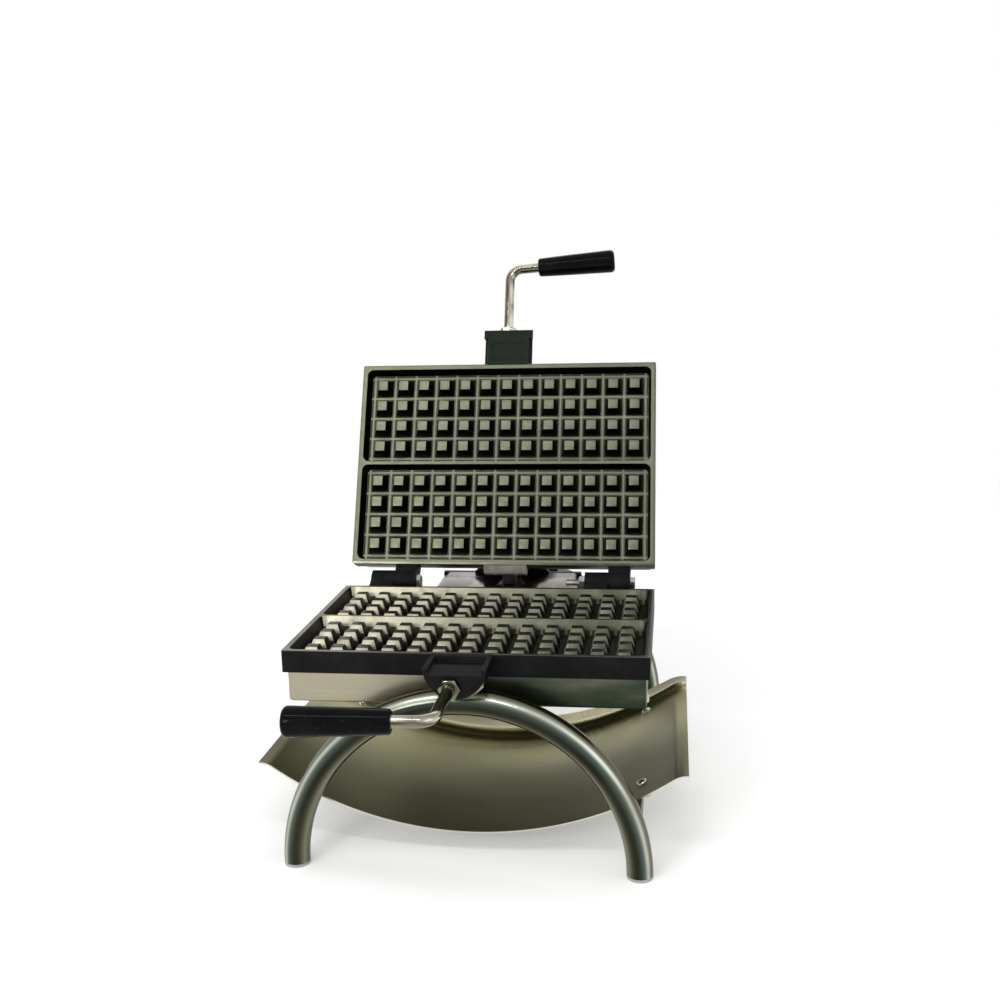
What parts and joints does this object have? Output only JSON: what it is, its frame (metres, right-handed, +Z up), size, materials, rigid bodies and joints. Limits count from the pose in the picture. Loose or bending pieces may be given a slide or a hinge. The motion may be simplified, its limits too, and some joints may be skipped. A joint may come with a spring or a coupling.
{
  "type": "swing waffle iron",
  "caption": "Counter waffle iron with two hinged double plates that turn over together in arched tube stands above a drip trough; lid open.",
  "frame": {"origin": "on the floor, under the middle of the machine's outer box", "axes": "+X to the right as the user stands, +Y to the back along the swing axis, +Z up"},
  "size_m": [0.403, 0.6464, 0.5543],
  "materials": {
    "arch_tube": "satin polished tube",
    "foot_plastic": "moulded",
    "liner_steel": "machined",
    "black_casting": "black painted casting",
    "bronze": "machined",
    "trough_steel": "polished sheet",
    "waffle_iron": "ground rims and tops, dark seasoned hollows",
    "cover_steel": "brushed sheet",
    "element_sheath": "oxidised sheath",
    "wool": "mineral wool board",
    "chrome": "bright plated",
    "bakelite": "gloss",
    "black_plastic": "satin",
    "rocker_red": "gloss",
    "lamp_amber": "clear amber",
    "terminal_white": "ceramic terminal",
    "rubber": "moulded",
    "bare_casting": "bare casting",
    "zinc": "bright zinc"
  },
  "bodies": {
    "stand": {"front_arch": "arch_tube", "rear_arch": "arch_tube", "foot_caps": "foot_plastic", "front_saddle": "liner_steel", "bearing_block": "black_casting", "bearing_bush": "bronze", "drip_tray": "trough_steel", "tray_bar_left": "trough_steel", "tray_bar_right": "trough_steel", "tray_screws": "zinc", "tray_nuts": "zinc"},
    "iron": {"lower_plate": "waffle_iron", "lower_cover": "cover_steel", "lower_cover_screws": "zinc", "lower_element": "element_sheath", "lower_clamps": "zinc", "lower_insulation": "wool", "lower_handle_rod": "chrome", "lower_handle_nut": "chrome", "lower_grip": "bakelite", "hinge_block_left": "black_casting", "hinge_block_right": "black_casting", "hinge_block_screws": "zinc", "hinge_bolt_left": "zinc", "hinge_bolt_right": "zinc", "hinge_nut": "zinc", "trunnion_casting": "black_casting", "casting_screws": "zinc", "trunnion": "zinc", "trunnion_collar": "zinc", "cable_gland": "black_plastic", "control_housing": "cover_steel", "housing_base": "cover_steel", "housing_screws": "zinc", "thermostat": "zinc", "switch_frame": "black_plastic", "pilot_lamp": "lamp_amber", "terminal_block": "terminal_white", "lid_rest": "rubber"},
    "lid": {"upper_plate": "waffle_iron", "upper_cover": "cover_steel", "upper_cover_screws": "zinc", "upper_element": "element_sheath", "upper_clamps": "zinc", "upper_insulation": "wool", "upper_handle_rod": "chrome", "upper_handle_nut": "chrome", "upper_grip": "bakelite", "lid_bracket_left": "black_casting", "lid_bracket_right": "black_casting", "lid_bracket_screws": "zinc", "lid_lead_lug": "bare_casting"},
    "knob": {"thermostat_knob": "black_plastic"},
    "rocker": {"switch_rocker": "rocker_red"}
  },
  "joints": [
    {"name": "swing", "type": "hinge", "parent": "stand", "child": "iron", "pos_m": [0, -0.18008, 0.2], "axis": [0, 1, 0], "range_deg": [0, 180]},
    {"name": "lid_hinge", "type": "hinge", "parent": "iron", "child": "lid", "pos_m": [0, 0.07102, 0.2], "axis": [1, 0, 0], "range_deg": [0, 114]},
    {"name": "knob_turn", "type": "hinge", "parent": "iron", "child": "knob", "pos_m": [0.081, 0.14232, 0.164], "axis": [-1, 0, 0], "range_deg": [0, 270]},
    {"name": "switch_rock", "type": "hinge", "parent": "iron", "child": "rocker", "pos_m": [0.077, 0.08132, 0.164], "axis": [0, 0, 1], "range_deg": [0, 14]}
  ]
}
